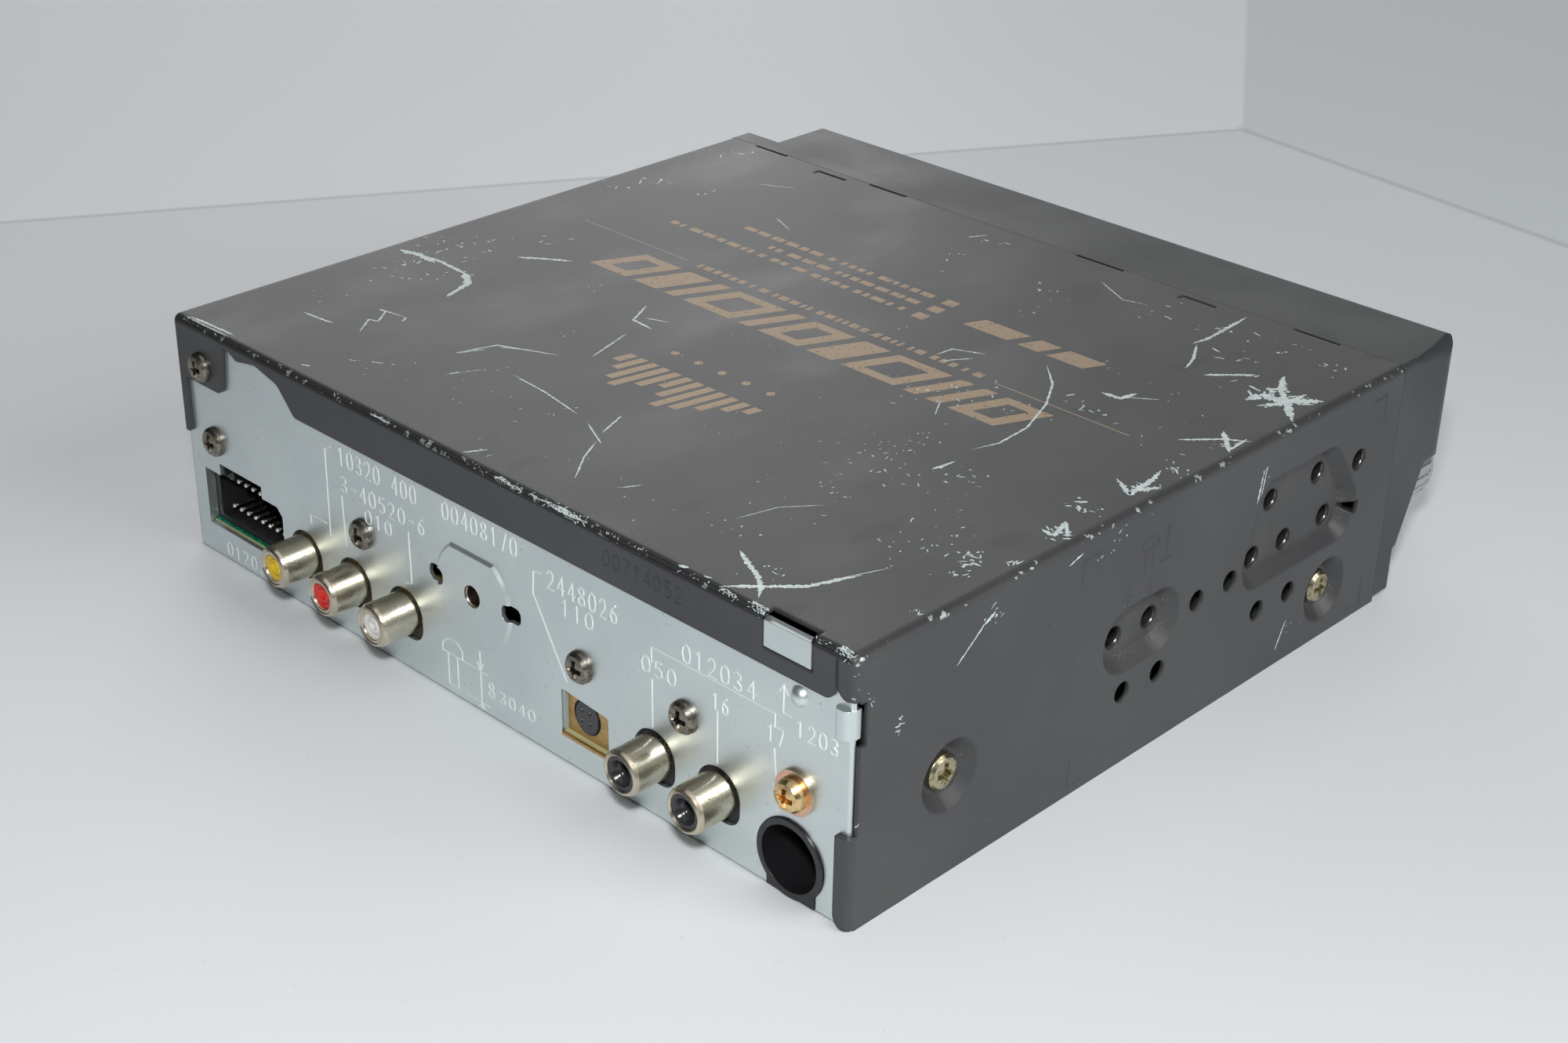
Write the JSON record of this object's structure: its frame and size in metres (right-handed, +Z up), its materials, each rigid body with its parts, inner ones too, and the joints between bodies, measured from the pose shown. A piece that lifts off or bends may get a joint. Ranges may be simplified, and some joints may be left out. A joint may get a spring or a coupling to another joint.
{
  "type": "car cd head unit",
  "caption": "Single-height car disc player with a slot-loading front, rotary knob, sheet steel case and rear sockets.",
  "frame": {"origin": "underside, under the middle of the case (without the nose and the jacks)", "axes": "+X to the right seen from the front, +Y to the rear with the sockets, +Z up"},
  "size_m": [0.178, 0.1828, 0.05],
  "materials": {
    "cover_paint": "satin paint, scratched",
    "zinc": "zinc-plated sheet",
    "nose_plastic": "fine matt",
    "black_plastic": "matt",
    "nickel": "worn nickel plate",
    "screw_steel": "nickel-plated",
    "gilt": "gilt",
    "copper_plate": "copper-coloured plate",
    "yellow_plastic": "gloss",
    "red_plastic": "gloss",
    "white_plastic": "gloss",
    "board_green": "solder-masked board",
    "grey_knob": "satin",
    "window_tint": "tinted, clear",
    "display_grey": "matt",
    "button_plastic": "satin",
    "felt_black": "felt",
    "soft_rubber": "matt",
    "steel_bright": "ground",
    "deck_steel": "zinc-plated",
    "gear_plastic": "natural acetal",
    "cable_grey": "flat cable"
  },
  "bodies": {
    "chassis": {"top_cover": "cover_paint", "chassis_tray": "zinc", "rear_panel": "zinc", "rear_nut": "screw_steel", "panel_screws": "screw_steel", "lip_screw": "screw_steel", "side_screws": "screw_steel", "earth_screw": "gilt", "earth_washer": "copper_plate", "jack_contacts": "nickel", "yellow_jack_insert": "yellow_plastic", "red_jack_insert": "red_plastic", "white_jack_insert": "white_plastic", "black_jack_inserts": "black_plastic", "triple_jack_block": "black_plastic", "double_jack_block": "black_plastic", "power_header": "black_plastic", "power_pins": "nickel", "digital_socket_shield": "gilt", "digital_socket_insert": "black_plastic", "bus_socket_shell": "black_plastic", "bus_socket_core": "black_plastic", "main_board": "board_green", "board_parts": "black_plastic", "front_frame": "nose_plastic", "front_panel": "nose_plastic", "display_lens": "window_tint", "display_module": "display_grey", "slot_felts": "felt_black", "front_board": "board_green", "front_switches": "black_plastic", "encoder": "display_grey", "front_ribbon": "cable_grey", "deck_rails": "deck_steel", "deck_dampers": "soft_rubber", "mechanism_deck": "deck_steel", "deck_pins": "steel_bright", "spindle_motor": "steel_bright", "feed_motor": "steel_bright", "load_motor": "steel_bright", "disc_guide": "gear_plastic"},
    "turntable": {"turntable": "black_plastic"},
    "clamp_arm": {"clamp_arm": "deck_steel"},
    "clamper": {"clamper": "gear_plastic"},
    "pickup": {"pickup_sled": "black_plastic"},
    "lead_screw": {"lead_screw": "steel_bright"},
    "load_roller": {"roller_shaft": "steel_bright", "rubber_rollers": "soft_rubber"},
    "idler_gear": {"idler_gear": "gear_plastic"},
    "load_pinion": {"load_pinion": "gear_plastic"},
    "volume_knob": {"volume_knob": "grey_knob", "encoder_shaft": "steel_bright"},
    "previous_button": {"previous_button": "button_plastic"},
    "play_button": {"play_button": "button_plastic"},
    "next_button": {"next_button": "button_plastic"},
    "stop_button": {"stop_button": "button_plastic"},
    "menu_button": {"menu_button": "button_plastic"},
    "source_button": {"source_button": "button_plastic"},
    "eject_button": {"eject_button": "button_plastic"},
    "power_button": {"power_button": "button_plastic"}
  },
  "joints": [
    {"name": "turntable_spin", "type": "hinge", "parent": "chassis", "child": "turntable", "pos_m": [0, 0, 0.0389], "axis": [0, 0, 1], "continuous": true},
    {"name": "clamp_arm_lower", "type": "hinge", "parent": "chassis", "child": "clamp_arm", "pos_m": [0, 0.062, 0.046], "axis": [1, 0, 0], "range_deg": [0, 3.05], "stiffness_Nm_per_rad": 0.2, "springref_deg": -5.73},
    {"name": "clamper_spin", "type": "hinge", "parent": "clamp_arm", "child": "clamper", "pos_m": [0, 0, 0.046], "axis": [0, 0, 1], "continuous": true},
    {"name": "pickup_slide", "type": "slide", "parent": "chassis", "child": "pickup", "axis": [1, 0, 0], "range_m": [0, 0.033]},
    {"name": "lead_screw_turn", "type": "hinge", "parent": "chassis", "child": "lead_screw", "pos_m": [0.014, -0.029, 0.034], "axis": [1, 0, 0], "range_deg": [0, 4000]},
    {"name": "load_roller_turn", "type": "hinge", "parent": "chassis", "child": "load_roller", "pos_m": [0, -0.067, 0.0383], "axis": [1, 0, 0], "continuous": true},
    {"name": "idler_gear_turn", "type": "hinge", "parent": "chassis", "child": "idler_gear", "pos_m": [-0.0662, -0.05747, 0.0328], "axis": [1, 0, 0], "continuous": true},
    {"name": "load_pinion_turn", "type": "hinge", "parent": "chassis", "child": "load_pinion", "pos_m": [-0.0662, -0.04949, 0.02989], "axis": [1, 0, 0], "continuous": true},
    {"name": "volume_knob_turn", "type": "hinge", "parent": "chassis", "child": "volume_knob", "pos_m": [-0.076, -0.1006, 0.0188], "axis": [0, -1, 0], "continuous": true},
    {"name": "previous_button_press", "type": "slide", "parent": "chassis", "child": "previous_button", "axis": [0, 1, 0], "range_m": [0, 0.0005], "stiffness_N_per_m": 400},
    {"name": "play_button_press", "type": "slide", "parent": "chassis", "child": "play_button", "axis": [0, 1, 0], "range_m": [0, 0.0005], "stiffness_N_per_m": 400},
    {"name": "next_button_press", "type": "slide", "parent": "chassis", "child": "next_button", "axis": [0, 1, 0], "range_m": [0, 0.0005], "stiffness_N_per_m": 400},
    {"name": "stop_button_press", "type": "slide", "parent": "chassis", "child": "stop_button", "axis": [0, 1, 0], "range_m": [0, 0.0005], "stiffness_N_per_m": 400},
    {"name": "menu_button_press", "type": "slide", "parent": "chassis", "child": "menu_button", "axis": [0, 1, 0], "range_m": [0, 0.0005], "stiffness_N_per_m": 400},
    {"name": "source_button_press", "type": "slide", "parent": "chassis", "child": "source_button", "axis": [0, 1, 0], "range_m": [0, 0.0005], "stiffness_N_per_m": 400},
    {"name": "eject_button_press", "type": "slide", "parent": "chassis", "child": "eject_button", "axis": [0, 1, 0], "range_m": [0, 0.0005], "stiffness_N_per_m": 400},
    {"name": "power_button_press", "type": "slide", "parent": "chassis", "child": "power_button", "axis": [0, 1, 0], "range_m": [0, 0.0005], "stiffness_N_per_m": 400}
  ],
  "couplings": [
    {"joint": "lead_screw_turn", "follows": "pickup_slide", "rad_per_m": 2094.4},
    {"joint": "idler_gear_turn", "follows": "load_roller_turn", "ratio": -0.83333},
    {"joint": "load_pinion_turn", "follows": "load_roller_turn", "ratio": 2}
  ]
}
